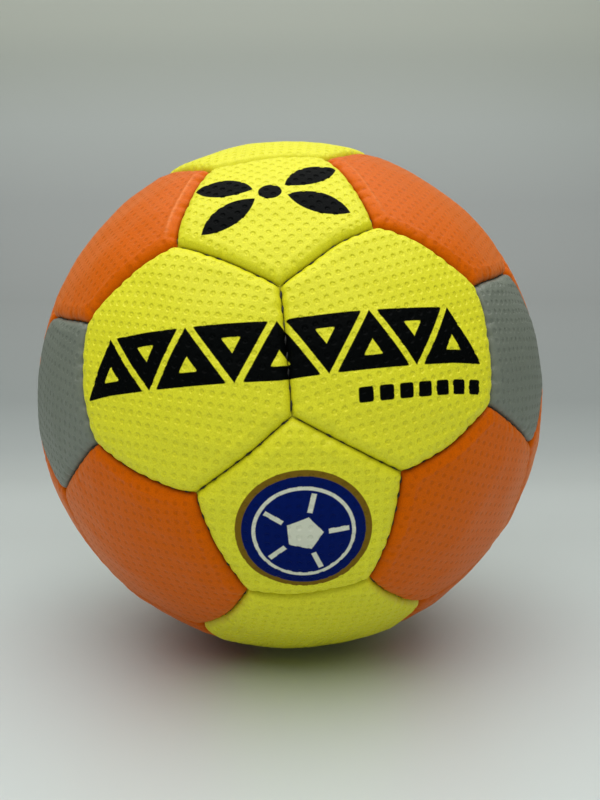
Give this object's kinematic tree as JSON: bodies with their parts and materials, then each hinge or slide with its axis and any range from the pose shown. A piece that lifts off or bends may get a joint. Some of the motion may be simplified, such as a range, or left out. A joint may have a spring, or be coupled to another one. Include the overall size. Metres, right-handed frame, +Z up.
{
  "type": "handball",
  "caption": "Inflatable ball of embossed synthetic leather pentagons and hexagons, hand-stitched over foam, lining and a bladder with a needle valve.",
  "frame": {"origin": "centre of the ball", "axes": "+Z up with the ball as it lies on the floor, -Y towards the ball's front, +X to the right as seen from the front"},
  "size_m": [0.1878, 0.1878, 0.1878],
  "materials": {
    "yellow_cover": "embossed matt synthetic leather",
    "orange_cover": "embossed matt synthetic leather",
    "grey_cover": "embossed matt synthetic leather",
    "foam": "closed-cell foam",
    "lining": "woven cotton and polyester",
    "thread": "waxed thread",
    "bladder": "smooth rubber",
    "valve_rubber": "smooth rubber"
  },
  "bodies": {
    "root": {"pentagon_yellow_front_high": "yellow_cover", "pentagon_yellow_front_low": "yellow_cover", "pentagon_yellow_back_high": "yellow_cover", "pentagon_yellow_back_low": "yellow_cover", "pentagon_grey_right_front": "grey_cover", "pentagon_grey_right_back": "grey_cover", "pentagon_grey_left_front": "grey_cover", "pentagon_grey_left_back": "grey_cover", "pentagon_orange_top_right": "orange_cover", "pentagon_orange_top_left": "orange_cover", "pentagon_orange_bottom_right": "orange_cover", "pentagon_orange_bottom_left": "orange_cover", "hexagon_yellow_front_left": "yellow_cover", "hexagon_yellow_front_right": "yellow_cover", "hexagon_yellow_top_front": "yellow_cover", "hexagon_yellow_bottom_front": "yellow_cover", "hexagon_yellow_back_left": "yellow_cover", "hexagon_yellow_back_right": "yellow_cover", "hexagon_yellow_top_back": "yellow_cover", "hexagon_yellow_bottom_back": "yellow_cover", "hexagon_orange_front_high_left": "orange_cover", "hexagon_orange_front_high_right": "orange_cover", "hexagon_orange_front_low_left": "orange_cover", "hexagon_orange_front_low_right": "orange_cover", "hexagon_orange_back_high_left": "orange_cover", "hexagon_orange_back_high_right": "orange_cover", "hexagon_orange_back_low_left": "orange_cover", "hexagon_orange_back_low_right": "orange_cover", "hexagon_orange_left_high": "orange_cover", "hexagon_orange_left_low": "orange_cover", "hexagon_orange_right_high": "orange_cover", "hexagon_orange_right_low": "orange_cover", "pentagon_foams": "foam", "hexagon_foams": "foam", "pentagon_linings": "lining", "hexagon_linings": "lining", "seam_thread": "thread", "bladder": "bladder", "valve_patch": "valve_rubber", "valve_seat": "valve_rubber", "valve_plug": "valve_rubber"}
  },
  "joints": []
}
